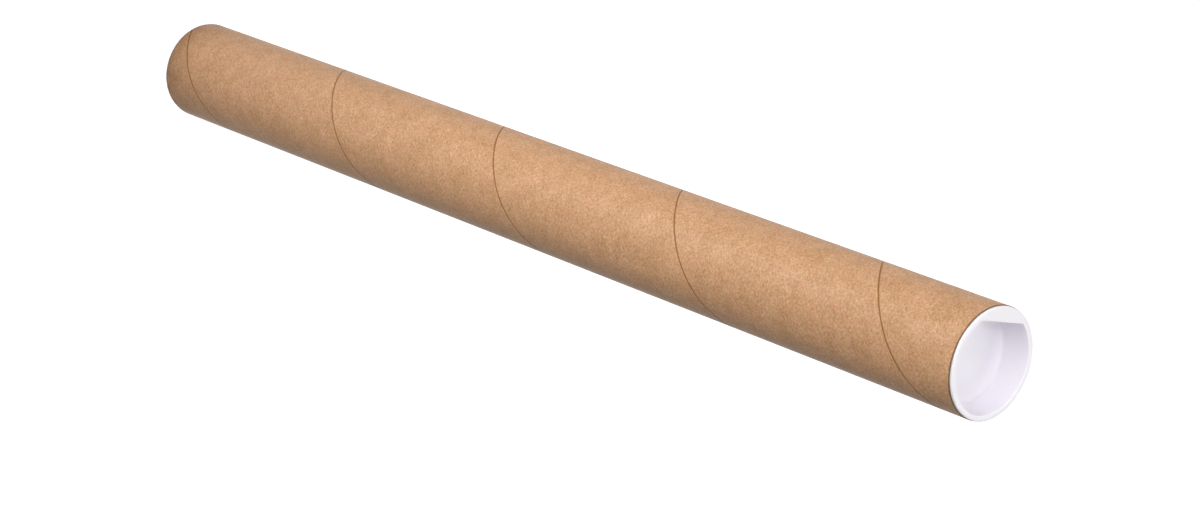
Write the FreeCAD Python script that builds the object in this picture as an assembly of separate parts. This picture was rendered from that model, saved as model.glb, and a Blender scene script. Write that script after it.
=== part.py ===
import FreeCAD, Part
import math
import os

# Cardboard mailing tube with a push-in plastic cap in each end, in millimetres.
# It stands on its rear cap. The origin is the centre of that cap's outer face,
# +Z runs along the tube to the front cap, and +Y points to the flat ledge of each cap.

# Tube
tube_length = 609.6
bore_radius = 25.4
board_thickness = 1.8
end_edge_round = 0.3

# Seam between the turns of the outermost strip of paper, a right-handed helix
seam_pitch = 136.8
seam_angle_at_front = 288.4
seam_width = 0.5
seam_depth = 0.2

# Cap
flange_thickness = 1.2
flange_inset = 0.3
flange_edge_round = 0.35
plug_clearance = 0.05
cap_wall = 1.25
pocket_depth = 15.0
ledge_distance = 19.4
lead_in_length = 2.5
lead_in_step = 0.7
pocket_mouth_round = 0.3
pocket_floor_round = 1.0
pocket_corner_round = 1.0

# Worked out from the above
tube_radius = bore_radius + board_thickness
tube_bottom = flange_thickness
tube_top = tube_bottom + tube_length
object_top = tube_top + flange_thickness
flange_radius = tube_radius - flange_inset
plug_radius = bore_radius - plug_clearance
pocket_radius = plug_radius - cap_wall
cap_height = pocket_depth + cap_wall

AXIS = FreeCAD.Vector(0, 0, 1)
CENTRE = FreeCAD.Vector(0, 0, 0)
CUT_MARGIN = 5.0


def circle_edges(shape, radius, height):
    """Round edges of this radius that lie flat at this height."""
    found = []
    for edge in shape.Edges:
        flat = abs(edge.BoundBox.ZMin - height) < 1e-4 and abs(edge.BoundBox.ZMax - height) < 1e-4
        if flat and isinstance(edge.Curve, Part.Circle) and abs(edge.Curve.Radius - radius) < 1e-4:
            found.append(edge)
    return found


def edges_at_height(shape, height, reach):
    """Edges that lie flat at this height, no further than reach from the axis."""
    found = []
    for edge in shape.Edges:
        box = edge.BoundBox
        flat = abs(box.ZMin - height) < 1e-4 and abs(box.ZMax - height) < 1e-4
        if flat and max(abs(box.XMin), abs(box.XMax), abs(box.YMin), abs(box.YMax)) <= reach:
            found.append(edge)
    return found


def upright_edges(shape):
    """Straight edges that run along the axis."""
    return [edge for edge in shape.Edges
            if isinstance(edge.Curve, Part.Line) and abs(edge.Curve.Direction.z) > 0.999]


def segment_prism(radius, y_low, y_high, z_low, z_high):
    """The part of a round bar between two planes square to Y."""
    height = z_high - z_low
    bar = Part.makeCylinder(radius, height, FreeCAD.Vector(0, 0, z_low), AXIS)
    corner = FreeCAD.Vector(-radius, y_low, z_low)
    block = Part.makeBox(2 * radius, y_high - y_low, height, corner)
    return bar.common(block)


def seam_cutter():
    """Shallow channel wound round the tube, past both of its ends."""
    turn_length = 2 * math.pi * tube_radius
    lead_angle = math.atan2(seam_pitch, turn_length)
    half_rise = seam_width / 2 / math.cos(lead_angle)
    start_height = tube_bottom - CUT_MARGIN
    height = tube_length + 2 * CUT_MARGIN
    helix = Part.makeHelix(seam_pitch, height, tube_radius)
    inner = tube_radius - seam_depth
    outer = tube_radius + seam_depth
    corners = [
        FreeCAD.Vector(inner, 0, -half_rise),
        FreeCAD.Vector(outer, 0, -half_rise),
        FreeCAD.Vector(outer, 0, half_rise),
        FreeCAD.Vector(inner, 0, half_rise),
    ]
    profile = Part.makePolygon(corners + corners[:1])
    sweep = Part.BRepOffsetAPI.MakePipeShell(Part.Wire(helix))
    sweep.setFrenetMode(True)
    sweep.add(profile)
    sweep.build()
    sweep.makeSolid()
    channel = sweep.shape()
    start_angle = seam_angle_at_front - 360 * (tube_top - start_height) / seam_pitch
    channel.rotate(CENTRE, AXIS, start_angle)
    channel.translate(FreeCAD.Vector(0, 0, start_height))
    return channel


def make_tube():
    """Wound paper tube, open at both ends, with the seam of its outermost strip."""
    base = FreeCAD.Vector(0, 0, tube_bottom)
    outside = Part.makeCylinder(tube_radius, tube_length, base, AXIS)
    rims = circle_edges(outside, tube_radius, tube_bottom) + circle_edges(outside, tube_radius, tube_top)
    outside = outside.makeFillet(end_edge_round, rims)
    bore_base = FreeCAD.Vector(0, 0, tube_bottom - CUT_MARGIN)
    bore = Part.makeCylinder(bore_radius, tube_length + 2 * CUT_MARGIN, bore_base, AXIS)
    return outside.cut(bore).cut(seam_cutter())


def cap_outside():
    """Flange and plug as one turned form, its outer face up at height zero."""
    lead_in_top = -cap_height + lead_in_length
    outline = [
        FreeCAD.Vector(0, 0, 0),
        FreeCAD.Vector(flange_radius, 0, 0),
        FreeCAD.Vector(flange_radius, 0, -flange_thickness),
        FreeCAD.Vector(plug_radius, 0, -flange_thickness),
        FreeCAD.Vector(plug_radius, 0, lead_in_top),
        FreeCAD.Vector(plug_radius - lead_in_step, 0, -cap_height),
        FreeCAD.Vector(0, 0, -cap_height),
    ]
    face = Part.Face(Part.makePolygon(outline + outline[:1]))
    turned = face.revolve(CENTRE, AXIS, 360)
    return turned.makeFillet(flange_edge_round, circle_edges(turned, flange_radius, 0))


def cap_pocket():
    """Finger pocket: round, but straight along the ledge, with a rounded floor edge."""
    pocket = segment_prism(pocket_radius, -pocket_radius, ledge_distance, -pocket_depth, CUT_MARGIN)
    pocket = pocket.makeFillet(pocket_corner_round, upright_edges(pocket))
    return pocket.makeFillet(pocket_floor_round, edges_at_height(pocket, -pocket_depth, pocket_radius + 1))


def space_behind_ledge():
    """Hollow under the ledge, open to the inside of the tube."""
    return segment_prism(pocket_radius, ledge_distance + cap_wall, pocket_radius + 1,
                         -cap_height - CUT_MARGIN, -cap_wall)


def make_cap():
    """Thin-walled push-in cap, its outer face up at height zero."""
    cap = cap_outside().cut(cap_pocket()).cut(space_behind_ledge())
    mouth = edges_at_height(cap, 0, pocket_radius + 0.01)
    return cap.makeFillet(pocket_mouth_round, mouth)


def make_front_cap():
    """Cap in the top end of the tube."""
    cap = make_cap()
    cap.translate(FreeCAD.Vector(0, 0, object_top))
    return cap


def make_rear_cap():
    """The same cap turned over, its outer face on the ground."""
    cap = make_cap()
    cap.rotate(CENTRE, FreeCAD.Vector(0, 1, 0), 180)
    return cap


def main():
    os.makedirs("parts", exist_ok=True)
    pieces = {
        "tube": make_tube(),
        "front_cap": make_front_cap(),
        "rear_cap": make_rear_cap(),
    }
    for name, shape in pieces.items():
        shape.exportStep(f"parts/{name}.step")
        box = shape.BoundBox
        print(name, len(shape.Solids), shape.isValid(), round(shape.Volume, 1),
              round(box.ZMin, 3), round(box.ZMax, 3))


main()
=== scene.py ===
import math

import bpy
from mathutils import Matrix, Vector


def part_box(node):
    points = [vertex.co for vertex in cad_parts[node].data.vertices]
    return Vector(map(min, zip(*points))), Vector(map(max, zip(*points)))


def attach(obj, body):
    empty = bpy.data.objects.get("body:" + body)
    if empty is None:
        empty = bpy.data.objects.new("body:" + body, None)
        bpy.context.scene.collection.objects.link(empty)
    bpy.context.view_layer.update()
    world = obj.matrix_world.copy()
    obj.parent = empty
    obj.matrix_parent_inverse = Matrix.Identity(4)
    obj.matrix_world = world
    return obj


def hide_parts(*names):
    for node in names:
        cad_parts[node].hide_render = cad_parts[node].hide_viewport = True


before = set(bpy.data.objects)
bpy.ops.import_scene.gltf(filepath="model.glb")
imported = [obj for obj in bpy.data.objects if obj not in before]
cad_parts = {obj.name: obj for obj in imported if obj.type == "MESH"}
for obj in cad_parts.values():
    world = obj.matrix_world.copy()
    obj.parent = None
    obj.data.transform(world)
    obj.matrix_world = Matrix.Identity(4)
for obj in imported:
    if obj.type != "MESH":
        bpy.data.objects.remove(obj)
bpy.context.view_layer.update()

# Sizes in metres, in the frame's own axes: the tube stands on its rear cap, along +Z
MM = 0.001
tube_low, tube_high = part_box("tube")
tube_bottom = tube_low[2]
tube_top = tube_high[2]
tube_radius = 27.2 * MM
bore_radius = 25.4 * MM
end_edge_round = 0.3 * MM

# The outermost strip of paper, wound as a right-handed helix with its edges nearly meeting
strip_pitch = 136.8 * MM
seam_angle_at_top = math.radians(288.4)
seam_width = 0.5 * MM
seam_depth = 0.2 * MM
lead_angle = math.atan2(strip_pitch, 2 * math.pi * tube_radius)
strip_width = strip_pitch * math.cos(lead_angle)

# Fineness of the wound mesh
columns_round = 128
rows_across = 36
join_distance = 0.004 * MM


def linear_colour(code):
    """Linear RGBA of an sRGB hex colour."""
    channels = [int(code[i:i + 2], 16) / 255 for i in (1, 3, 5)]
    return tuple(c / 12.92 if c <= 0.04045 else ((c + 0.055) / 1.055) ** 2.4 for c in channels) + (1.0,)


def add_node(tree, kind, inputs=None, **settings):
    """Add a node with its settings, and fill its inputs with values or links."""
    node = tree.nodes.new(kind)
    for name, value in settings.items():
        setattr(node, name, value)
    for key, value in (inputs or {}).items():
        if isinstance(value, bpy.types.NodeSocket):
            tree.links.new(value, node.inputs[key])
        else:
            node.inputs[key].default_value = value
    return node


def new_material(name):
    """Empty material with a Principled shader joined to its output."""
    material = bpy.data.materials.new(name)
    material.use_nodes = True
    tree = material.node_tree
    tree.nodes.clear()
    shader = add_node(tree, "ShaderNodeBsdfPrincipled")
    add_node(tree, "ShaderNodeOutputMaterial", {"Surface": shader.outputs["BSDF"]})
    return material, tree, shader


def kraft_paper():
    """Unbleached kraft paper, machine made: matt and warm brown, mottled by its fibres.

    The pattern lies on the strip's own map, in metres along and across the strip, so its
    grain follows the winding and breaks at the seams.
    """
    material, tree, shader = new_material("kraft_paper")
    strip = add_node(tree, "ShaderNodeUVMap", uv_map="strip").outputs["UV"]

    # Cloudy formation of the sheet, in patches about 14 mm across
    clouds = add_node(tree, "ShaderNodeTexNoise",
                      {"Vector": strip, "Scale": 1 / (14 * MM), "Detail": 2.0, "Roughness": 0.5},
                      noise_dimensions="2D")
    cloud_tint = add_node(tree, "ShaderNodeMix",
                          {"Factor": clouds.outputs["Fac"], "A": linear_colour("#C39B79"),
                           "B": linear_colour("#DAB194")}, data_type="RGBA")
    pulp_colour = cloud_tint.outputs[2]

    # Finer mottling, each layer with its patch size, detail, roughness and distortion, the range of
    # the noise that is spread out, and the two tints that the paper is multiplied by
    layers = (
        # Pinker and yellower flecks of the pulp
        (3 * MM, 3.0, 0.6, 0.0, 0.3, 0.7, "#FFF5F3", "#F5F9E9"),
        # Darker blotches where the fibres lie thicker
        (5 * MM, 4.0, 0.6, 0.4, 0.3, 0.7, "#EFEAE4", "#FFFFFF"),
        # Felt-like grain, which is the relief of the sheet as well
        (1.3 * MM, 3.0, 0.62, 0.0, 0.25, 0.75, "#D2C7B6", "#FFFFFF"),
    )
    for patch, detail, roughness, distortion, least, most, dark, light in layers:
        pulp = add_node(tree, "ShaderNodeTexNoise",
                        {"Vector": strip, "Scale": 1 / patch, "Detail": detail, "Roughness": roughness,
                         "Distortion": distortion}, noise_dimensions="2D")
        spread = add_node(tree, "ShaderNodeMapRange",
                          {"Value": pulp.outputs["Fac"], "From Min": least, "From Max": most})
        tint = add_node(tree, "ShaderNodeMix",
                        {"Factor": spread.outputs[0], "A": linear_colour(dark),
                         "B": linear_colour(light)}, data_type="RGBA")
        mottled = add_node(tree, "ShaderNodeMix",
                           {"Factor": 1.0, "A": pulp_colour, "B": tint.outputs[2]},
                           data_type="RGBA", blend_type="MULTIPLY")
        pulp_colour = mottled.outputs[2]
    grain = pulp

    # Single fibres a few mm long, drawn 0.35 mm wide because real ones are too fine to show
    fibre_length = 4 * MM
    fibre_width = 0.35 * MM
    lengthwise = add_node(tree, "ShaderNodeMapping",
                          {"Vector": strip, "Scale": (1 / fibre_length, 1 / fibre_width, 1)})
    fibres = add_node(tree, "ShaderNodeTexNoise",
                      {"Vector": lengthwise.outputs[0], "Scale": 1.0, "Detail": 2.0, "Distortion": 0.8},
                      noise_dimensions="2D")
    fibre_mask = add_node(tree, "ShaderNodeMapRange",
                          {"Value": fibres.outputs["Fac"], "From Min": 0.58, "From Max": 0.75,
                           "To Min": 0.0, "To Max": 0.35})
    fibred = add_node(tree, "ShaderNodeMix",
                      {"Factor": fibre_mask.outputs[0], "A": pulp_colour,
                       "B": linear_colour("#E6C195")}, data_type="RGBA")

    # Dark line where the edges of the strip meet and the glue shows
    across = add_node(tree, "ShaderNodeSeparateXYZ", {0: strip})
    from_seam = add_node(tree, "ShaderNodeMath", {0: across.outputs["Y"], 1: strip_width / 2},
                         operation="PINGPONG")
    seam_mask = add_node(tree, "ShaderNodeMapRange",
                         {"Value": from_seam.outputs[0], "From Min": 0.5 * seam_width,
                          "From Max": 1.1 * seam_width, "To Min": 0.85, "To Max": 0.0})
    seamed = add_node(tree, "ShaderNodeMix",
                      {"Factor": seam_mask.outputs[0], "A": fibred.outputs[2],
                       "B": linear_colour("#80501F")}, data_type="RGBA")

    # Dark brown band round both ends of the tube, where the caps sit: partly the sawn edge's own colour,
    # partly painted shadow of the gap under each cap's flange
    place = add_node(tree, "ShaderNodeTexCoord").outputs["Object"]
    height = add_node(tree, "ShaderNodeSeparateXYZ", {0: place}).outputs["Z"]
    from_middle = add_node(tree, "ShaderNodeMath",
                           {0: height, 1: (tube_bottom + tube_top) / 2}, operation="SUBTRACT")
    off_middle = add_node(tree, "ShaderNodeMath", {0: from_middle.outputs[0]}, operation="ABSOLUTE")
    half_length = (tube_top - tube_bottom) / 2
    sawn_and_shaded_rim = 0.9 * MM
    sawn_and_shaded_rim_full = 0.4 * MM
    sawn_and_shaded_mask = add_node(tree, "ShaderNodeMapRange",
                         {"Value": off_middle.outputs[0], "From Min": half_length - sawn_and_shaded_rim,
                          "From Max": half_length - sawn_and_shaded_rim_full, "To Min": 0.0, "To Max": 0.9})
    # Paints the dark band: sawn edge colour together with painted shadow under the flange
    sawn = add_node(tree, "ShaderNodeMix",
                    {"Factor": sawn_and_shaded_mask.outputs[0], "A": seamed.outputs[2],
                     "B": linear_colour("#4A3524")}, data_type="RGBA")
    tree.links.new(sawn.outputs[2], shader.inputs["Base Color"])

    # Soft tooth of the sheet, and a faint gloss, since most of it is lost between the fibres
    relief = add_node(tree, "ShaderNodeBump",
                      {"Height": grain.outputs["Fac"], "Strength": 0.35, "Distance": 0.06 * MM})
    tree.links.new(relief.outputs[0], shader.inputs["Normal"])
    shader.inputs["Roughness"].default_value = 0.42
    shader.inputs["IOR"].default_value = 1.47
    shader.inputs["Specular IOR Level"].default_value = 0.07
    return material


def board_edge():
    """Inner plies and sawn ends of the board: greyer, duller and rougher than the outside."""
    material, tree, shader = new_material("board_edge")
    place = add_node(tree, "ShaderNodeTexCoord").outputs["Object"]
    pulp = add_node(tree, "ShaderNodeTexNoise",
                    {"Vector": place, "Scale": 1 / (1.5 * MM), "Detail": 4.0, "Roughness": 0.6})
    tint = add_node(tree, "ShaderNodeMix",
                    {"Factor": pulp.outputs["Fac"], "A": linear_colour("#5E4632"),
                     "B": linear_colour("#8E7257")}, data_type="RGBA")
    tree.links.new(tint.outputs[2], shader.inputs["Base Color"])
    shader.inputs["Roughness"].default_value = 0.8
    return material


def moulded_polyethylene():
    """White moulded polyethylene: waxy, slightly see-through, with a soft gloss."""
    material, tree, shader = new_material("moulded_polyethylene")
    place = add_node(tree, "ShaderNodeTexCoord").outputs["Object"]

    # Faint cloudiness of the pigment, and the slow waves that a thin wall cools into
    pigment = add_node(tree, "ShaderNodeTexNoise",
                       {"Vector": place, "Scale": 1 / (9 * MM), "Detail": 2.0, "Roughness": 0.5})
    tint = add_node(tree, "ShaderNodeMix",
                    {"Factor": pigment.outputs["Fac"], "A": linear_colour("#F4EFFB"),
                     "B": linear_colour("#F8F3FE")}, data_type="RGBA")
    tree.links.new(tint.outputs[2], shader.inputs["Base Color"])
    waves = add_node(tree, "ShaderNodeBump",
                     {"Height": pigment.outputs["Fac"], "Strength": 0.4, "Distance": 0.3 * MM})
    tree.links.new(waves.outputs[0], shader.inputs["Normal"])
    shader.inputs["Roughness"].default_value = 0.36
    shader.inputs["IOR"].default_value = 1.51
    shader.inputs["Subsurface Weight"].default_value = 0.8
    shader.inputs["Subsurface Radius"].default_value = (1.0, 1.0, 1.0)
    shader.inputs["Subsurface Scale"].default_value = 2.5 * MM
    return material


def draw_edges_in(tree, body, middle, radius, low, high):
    """Draw the two open edges of the tube to a smaller ring, at one height for each end."""
    sides = add_node(tree, "GeometryNodeInputMeshEdgeNeighbors")
    is_open = add_node(tree, "ShaderNodeMath", {0: sides.outputs["Face Count"], 1: 1.5},
                       operation="LESS_THAN")
    drawn = add_node(tree, "GeometryNodeExtrudeMesh",
                     {"Mesh": body, "Selection": is_open.outputs[0], "Offset Scale": 0.0}, mode="EDGES")
    place = add_node(tree, "GeometryNodeInputPosition").outputs[0]
    tall = add_node(tree, "ShaderNodeSeparateXYZ", {0: place})
    upper = add_node(tree, "ShaderNodeMath", {0: tall.outputs["Z"], 1: middle}, operation="GREATER_THAN")
    height = add_node(tree, "ShaderNodeMix", {"Factor": upper.outputs[0], "A": low, "B": high})
    level = add_node(tree, "ShaderNodeVectorMath", {0: place, 1: (1, 1, 0)}, operation="MULTIPLY")
    outward = add_node(tree, "ShaderNodeVectorMath", {0: level.outputs[0]}, operation="NORMALIZE")
    ring = add_node(tree, "ShaderNodeVectorMath", {0: outward.outputs[0], "Scale": radius},
                    operation="SCALE")
    lift = add_node(tree, "ShaderNodeCombineXYZ", {"Z": height.outputs[0]})
    target = add_node(tree, "ShaderNodeVectorMath", {0: ring.outputs[0], 1: lift.outputs[0]},
                      operation="ADD")
    moved = add_node(tree, "GeometryNodeSetPosition",
                     {"Geometry": drawn.outputs["Mesh"], "Selection": drawn.outputs["Top"],
                      "Position": target.outputs[0]})
    marked = add_node(tree, "GeometryNodeStoreNamedAttribute",
                      {"Geometry": moved.outputs[0], "Selection": drawn.outputs["Side"],
                       "Name": "bare_board", "Value": True}, data_type="BOOLEAN", domain="FACE")
    return marked.outputs[0]


def wound_tube_tree(paper, board):
    """Geometry Nodes tree that winds the outer strip into a tube and closes its ends and bore."""
    tree = bpy.data.node_groups.new("wound_tube", "GeometryNodeTree")
    tree.interface.new_socket("Geometry", in_out="OUTPUT", socket_type="NodeSocketGeometry")
    for name in ("Outside Radius", "Bore Radius", "Bottom", "Top", "End Edge Round", "Strip Pitch",
                 "Strip Width", "Lead Angle", "Start Angle", "Start Height", "Seam Width", "Seam Depth"):
        tree.interface.new_socket(name, in_out="INPUT", socket_type="NodeSocketFloat")
    for name in ("Columns Round", "Rows Across", "Turns"):
        tree.interface.new_socket(name, in_out="INPUT", socket_type="NodeSocketInt")
    given = add_node(tree, "NodeGroupInput").outputs

    # Flat grid: a column for each step of the winding, rows crowded towards both edges of the strip
    steps = add_node(tree, "ShaderNodeMath",
                     {0: given["Columns Round"], 1: given["Turns"], 2: 1.0}, operation="MULTIPLY_ADD")
    grid = add_node(tree, "GeometryNodeMeshGrid",
                    {"Size X": 1.0, "Size Y": 1.0, "Vertices X": steps.outputs[0],
                     "Vertices Y": given["Rows Across"]})
    place = add_node(tree, "GeometryNodeInputPosition").outputs[0]
    flat = add_node(tree, "ShaderNodeSeparateXYZ", {0: place})
    along = add_node(tree, "ShaderNodeMath", {0: flat.outputs["X"], 1: 0.5}, operation="ADD")
    turns = add_node(tree, "ShaderNodeMath", {0: along.outputs[0], 1: given["Turns"]},
                     operation="MULTIPLY")
    half_circle = add_node(tree, "ShaderNodeMath", {0: flat.outputs["Y"], 1: math.pi},
                           operation="MULTIPLY")
    crowded = add_node(tree, "ShaderNodeMath", {0: half_circle.outputs[0]}, operation="SINE")
    quarter = add_node(tree, "ShaderNodeMath", {0: crowded.outputs[0], 1: math.pi / 2},
                       operation="MULTIPLY")
    more_crowded = add_node(tree, "ShaderNodeMath", {0: quarter.outputs[0]}, operation="SINE")
    share = add_node(tree, "ShaderNodeMath", {0: more_crowded.outputs[0], 1: 0.5, 2: 0.5},
                     operation="MULTIPLY_ADD")

    # Height of each point: it climbs one pitch a turn, and is trimmed flat at both ends
    climbed = add_node(tree, "ShaderNodeMath", {0: turns.outputs[0], 1: share.outputs[0]},
                       operation="ADD")
    untrimmed = add_node(tree, "ShaderNodeMath",
                         {0: climbed.outputs[0], 1: given["Strip Pitch"], 2: given["Start Height"]},
                         operation="MULTIPLY_ADD")
    lowest = add_node(tree, "ShaderNodeMath", {0: given["Bottom"], 1: given["End Edge Round"]},
                      operation="ADD")
    highest = add_node(tree, "ShaderNodeMath", {0: given["Top"], 1: given["End Edge Round"]},
                       operation="SUBTRACT")
    height = add_node(tree, "ShaderNodeClamp",
                      {"Value": untrimmed.outputs[0], "Min": lowest.outputs[0], "Max": highest.outputs[0]})

    # Distance to the nearest seam, and the groove that the two paper edges leave there
    risen = add_node(tree, "ShaderNodeMath", {0: height.outputs[0], 1: given["Start Height"]},
                     operation="SUBTRACT")
    pitches = add_node(tree, "ShaderNodeMath", {0: risen.outputs[0], 1: given["Strip Pitch"]},
                       operation="DIVIDE")
    phase = add_node(tree, "ShaderNodeMath", {0: pitches.outputs[0], 1: turns.outputs[0]},
                     operation="SUBTRACT")
    nearest = add_node(tree, "ShaderNodeMath", {0: phase.outputs[0], 1: 0.5}, operation="PINGPONG")
    from_seam = add_node(tree, "ShaderNodeMath", {0: nearest.outputs[0], 1: given["Strip Width"]},
                         operation="MULTIPLY")
    groove = add_node(tree, "ShaderNodeMapRange",
                      {"Value": from_seam.outputs[0], "From Min": 0.0, "From Max": given["Seam Width"],
                       "To Min": given["Seam Depth"], "To Max": 0.0}, interpolation_type="SMOOTHSTEP")
    radius = add_node(tree, "ShaderNodeMath", {0: given["Outside Radius"], 1: groove.outputs[0]},
                      operation="SUBTRACT")
    turned = add_node(tree, "ShaderNodeMath",
                      {0: turns.outputs[0], 1: 2 * math.pi, 2: given["Start Angle"]},
                      operation="MULTIPLY_ADD")
    spoke = add_node(tree, "ShaderNodeCombineXYZ", {"X": radius.outputs[0], "Z": height.outputs[0]})
    wound = add_node(tree, "ShaderNodeVectorRotate",
                     {"Vector": spoke.outputs[0], "Angle": turned.outputs[0]}, rotation_type="Z_AXIS")

    # Map of the strip laid flat, in metres along and across it
    around = add_node(tree, "ShaderNodeMath", {0: turns.outputs[0], 1: 2 * math.pi},
                      operation="MULTIPLY")
    arc = add_node(tree, "ShaderNodeMath", {0: around.outputs[0], 1: given["Outside Radius"]},
                   operation="MULTIPLY")
    unrolled = add_node(tree, "ShaderNodeCombineXYZ", {"X": arc.outputs[0], "Y": risen.outputs[0]})
    turned_back = add_node(tree, "ShaderNodeMath", {0: given["Lead Angle"], 1: -1.0},
                           operation="MULTIPLY")
    strip = add_node(tree, "ShaderNodeVectorRotate",
                     {"Vector": unrolled.outputs[0], "Angle": turned_back.outputs[0]},
                     rotation_type="Z_AXIS")
    mapped = add_node(tree, "GeometryNodeStoreNamedAttribute",
                      {"Geometry": grid.outputs["Mesh"], "Name": "strip", "Value": strip.outputs[0]},
                      data_type="FLOAT2", domain="CORNER")
    rolled = add_node(tree, "GeometryNodeSetPosition",
                      {"Geometry": mapped.outputs[0], "Position": wound.outputs[0]})
    joined = add_node(tree, "GeometryNodeMergeByDistance",
                      {"Geometry": rolled.outputs[0], "Distance": join_distance})
    body = joined.outputs[0]

    # Both open edges are drawn over the rounded rim, across the sawn end and down the bore
    middle = add_node(tree, "ShaderNodeMix",
                      {"Factor": 0.5, "A": given["Bottom"], "B": given["Top"]}).outputs[0]
    slant = 1 - math.sqrt(0.5)
    rings = []
    for drawn_in, left_over in ((slant, slant), (1.0, 0.0)):
        rim = add_node(tree, "ShaderNodeMath",
                       {0: given["End Edge Round"], 1: -drawn_in, 2: given["Outside Radius"]},
                       operation="MULTIPLY_ADD")
        low = add_node(tree, "ShaderNodeMath",
                       {0: given["End Edge Round"], 1: left_over, 2: given["Bottom"]},
                       operation="MULTIPLY_ADD")
        high = add_node(tree, "ShaderNodeMath",
                        {0: given["End Edge Round"], 1: -left_over, 2: given["Top"]},
                        operation="MULTIPLY_ADD")
        rings.append((rim.outputs[0], low.outputs[0], high.outputs[0]))
    rings.append((given["Bore Radius"], given["Bottom"], given["Top"]))
    rings.append((given["Bore Radius"], middle, middle))
    for ring_radius, low, high in rings:
        body = draw_edges_in(tree, body, middle, ring_radius, low, high)
    closed = add_node(tree, "GeometryNodeMergeByDistance",
                      {"Geometry": body, "Distance": join_distance})

    # Smooth all over but at the sawn ends
    sharpest_smooth = math.radians(50)
    bend = add_node(tree, "GeometryNodeInputMeshEdgeAngle")
    gentle = add_node(tree, "ShaderNodeMath",
                      {0: bend.outputs["Unsigned Angle"], 1: sharpest_smooth}, operation="LESS_THAN")
    shaded = add_node(tree, "GeometryNodeSetShadeSmooth",
                      {"Geometry": closed.outputs[0], "Shade Smooth": gentle.outputs[0]}, domain="EDGE")
    whole = add_node(tree, "GeometryNodeRealizeInstances", {"Geometry": shaded.outputs[0]})
    papered = add_node(tree, "GeometryNodeSetMaterial",
                       {"Geometry": whole.outputs[0], "Material": paper})
    bare = add_node(tree, "GeometryNodeInputNamedAttribute", {"Name": "bare_board"},
                    data_type="BOOLEAN")
    clad = add_node(tree, "GeometryNodeSetMaterial",
                    {"Geometry": papered.outputs[0], "Selection": bare.outputs[0], "Material": board})
    add_node(tree, "NodeGroupOutput", {"Geometry": clad.outputs[0]})
    return tree


def make_wound_tube(paper, board):
    """Tube of board with its outer strip, seam groove, rounded rims and sawn ends."""
    start_height = tube_bottom - strip_pitch
    sizes = {
        "Outside Radius": tube_radius,
        "Bore Radius": bore_radius,
        "Bottom": tube_bottom,
        "Top": tube_top,
        "End Edge Round": end_edge_round,
        "Strip Pitch": strip_pitch,
        "Strip Width": strip_width,
        "Lead Angle": lead_angle,
        "Start Angle": seam_angle_at_top - 2 * math.pi * (tube_top - start_height) / strip_pitch,
        "Start Height": start_height,
        "Seam Width": seam_width,
        "Seam Depth": seam_depth,
        "Columns Round": columns_round,
        "Rows Across": rows_across,
        "Turns": math.ceil((tube_top - tube_bottom) / strip_pitch) + 1,
    }
    tube = bpy.data.objects.new("wound_tube", bpy.data.meshes.new("wound_tube_start"))
    bpy.context.scene.collection.objects.link(tube)
    winding = tube.modifiers.new("winding", "NODES")
    winding.node_group = wound_tube_tree(paper, board)
    for socket in winding.node_group.interface.items_tree:
        if socket.in_out == "INPUT":
            winding[socket.identifier] = sizes[socket.name]
    finished = tube.evaluated_get(bpy.context.evaluated_depsgraph_get())
    mesh = bpy.data.meshes.new_from_object(finished)
    mesh.name = "wound_tube"
    mesh.materials.pop(index=0)
    tube.modifiers.remove(winding)
    tube.data = mesh
    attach(tube, "tube")
    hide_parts("tube")


def dress_cap(name, plastic):
    """Give a cap its plastic in every slot."""
    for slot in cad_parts[name].material_slots:
        slot.material = plastic


def background_rays(tree):
    """1 for rays that see the background: from the camera, or off or through a surface."""
    path = add_node(tree, "ShaderNodeLightPath").outputs
    mirrored = add_node(tree, "ShaderNodeMath",
                        {0: path["Is Camera Ray"], 1: path["Is Glossy Ray"]}, operation="MAXIMUM")
    passed = add_node(tree, "ShaderNodeMath",
                      {0: mirrored.outputs[0], 1: path["Is Transmission Ray"]}, operation="MAXIMUM")
    return passed.outputs[0]


def make_floor():
    """Wide plain floor that shows white and keeps the object's shadow."""
    reach = 6.0
    corners = [(-reach, -reach, 0), (reach, -reach, 0), (reach, reach, 0), (-reach, reach, 0)]
    mesh = bpy.data.meshes.new("floor")
    mesh.from_pydata(corners, [], [(0, 1, 2, 3)])
    floor = bpy.data.objects.new("floor", mesh)
    bpy.context.scene.collection.objects.link(floor)
    material = bpy.data.materials.new("white_floor")
    material.use_nodes = True
    tree = material.node_tree
    tree.nodes.clear()

    # The paint takes the shadow; the glow is seen with it, but lights nothing
    paint = add_node(tree, "ShaderNodeBsdfDiffuse", {"Color": linear_colour("#BDBDBD")})
    glow = add_node(tree, "ShaderNodeEmission", {"Color": linear_colour("#FFFFFF"), "Strength": 0.85})
    both = add_node(tree, "ShaderNodeAddShader", {0: paint.outputs[0], 1: glow.outputs[0]})
    seen = add_node(tree, "ShaderNodeMixShader",
                    {0: background_rays(tree), 1: paint.outputs[0], 2: both.outputs[0]})
    add_node(tree, "ShaderNodeOutputMaterial", {"Surface": seen.outputs[0]})
    mesh.materials.append(material)


def make_world():
    """Even white surroundings, seen as white behind the object."""
    world = bpy.data.worlds.new("studio")
    bpy.context.scene.world = world
    world.use_nodes = True
    tree = world.node_tree
    tree.nodes.clear()
    light = add_node(tree, "ShaderNodeBackground", {"Color": linear_colour("#FFFFFF"), "Strength": 0.13})
    seen = add_node(tree, "ShaderNodeBackground", {"Color": linear_colour("#FFFFFF"), "Strength": 1.0})
    mix = add_node(tree, "ShaderNodeMixShader",
                   {0: background_rays(tree), 1: light.outputs[0], 2: seen.outputs[0]})
    add_node(tree, "ShaderNodeOutputWorld", {"Surface": mix.outputs[0]})


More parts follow.
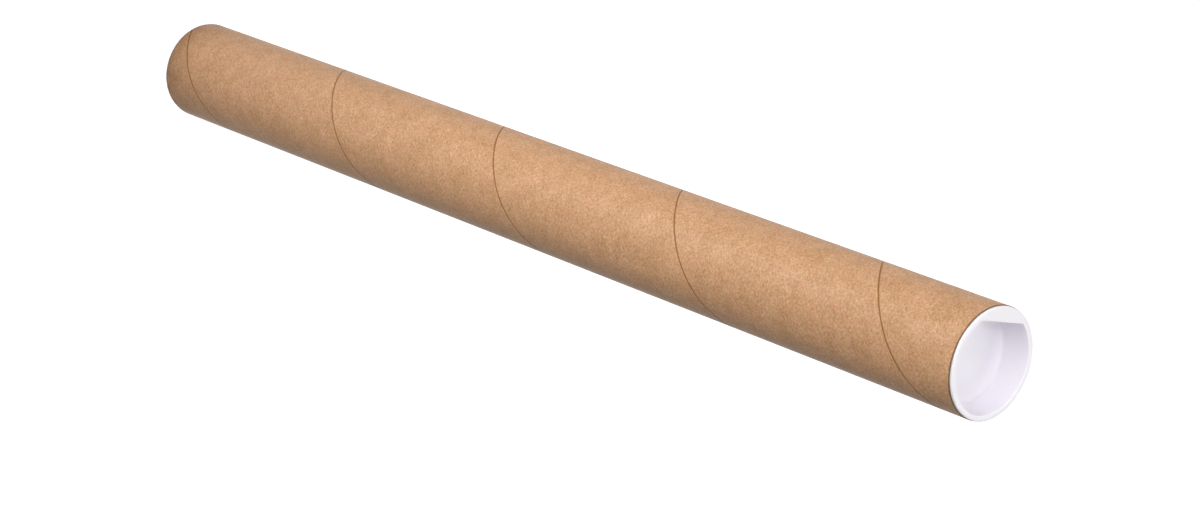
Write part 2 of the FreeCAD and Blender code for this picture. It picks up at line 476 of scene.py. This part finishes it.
def hang_lamp(name, place, turn, wide, tall, power):
    """Rectangular lamp at a place, turned so that it shines along its own -Z."""
    lamp = bpy.data.lights.new(name, "AREA")
    lamp.shape = "RECTANGLE"
    lamp.size = wide
    lamp.size_y = tall
    lamp.energy = power
    holder = bpy.data.objects.new(name, lamp)
    holder.location = place
    holder.rotation_euler = turn
    holder.visible_camera = False
    bpy.context.scene.collection.objects.link(holder)


def add_softbox(name, azimuth, elevation, distance, wide, tall, power):
    """Softbox that faces the tube, placed by its angle round the tube and above the floor."""
    aim_height = 0.6 * tube_top
    aim = Vector((0, 0, aim_height))
    flat = math.cos(math.radians(elevation))
    direction = Vector((flat * math.cos(math.radians(azimuth)), flat * math.sin(math.radians(azimuth)),
                        math.sin(math.radians(elevation))))
    hang_lamp(name, aim + direction * distance, direction.to_track_quat("Z", "Y").to_euler(),
              wide, tall, power)


def add_floor_strip(name, azimuth, near, far, wide, power):
    """Strip lamp that lies on the floor, shines up and draws a soft sheen along the tube."""
    angle = math.radians(azimuth)
    middle = (near + far) / 2
    clear_of_floor = 1 * MM
    place = Vector((middle * math.cos(angle), middle * math.sin(angle), clear_of_floor))
    hang_lamp(name, place, (math.pi, 0, angle), far - near, wide, power)


def make_camera():
    """Camera at the photograph's viewpoint; its upper side is towards +Y, not up."""
    place = Vector((-1.1478, 0.2157, tube_top + 0.9082))
    aim = Vector((-0.0034, -0.0169, 0.3556))
    roll = math.radians(12.93)
    lens = bpy.data.cameras.new("camera")
    lens.sensor_width = 36
    lens.lens = 98.44
    forward = (aim - place).normalized()
    right = forward.cross(Vector((0, 1, 0))).normalized()
    upright = right.cross(forward)
    facing = Matrix((right, upright, -forward)).transposed()
    turn = Matrix.Rotation(roll, 3, "Z")
    camera = bpy.data.objects.new("camera", lens)
    camera.matrix_world = Matrix.Translation(place) @ (facing @ turn).to_4x4()
    bpy.context.scene.collection.objects.link(camera)
    bpy.context.scene.camera = camera


bpy.context.scene.view_settings.view_transform = "Standard"
make_camera()
make_floor()
make_world()
add_softbox("key_softbox", azimuth=152, elevation=36, distance=1.8, wide=1.0, tall=1.8, power=17.2)
add_softbox("side_softbox", azimuth=107, elevation=25, distance=1.8, wide=0.9, tall=1.3, power=5.8)
add_softbox("fill_softbox", azimuth=184, elevation=30, distance=1.8, wide=1.2, tall=1.2, power=3.0)
add_softbox("back_softbox", azimuth=345, elevation=48, distance=1.8, wide=1.0, tall=1.0, power=7.0)
add_softbox("top_softbox", azimuth=160, elevation=82, distance=1.6, wide=1.0, tall=1.0, power=5.6)
add_floor_strip("far_strip", azimuth=149, near=0.4, far=1.2, wide=0.3, power=9.2)
add_floor_strip("near_strip", azimuth=149, near=0.045, far=0.22, wide=0.2, power=0.12)
make_wound_tube(kraft_paper(), board_edge())
cap_plastic = moulded_polyethylene()
dress_cap("front_cap", cap_plastic)
dress_cap("rear_cap", cap_plastic)
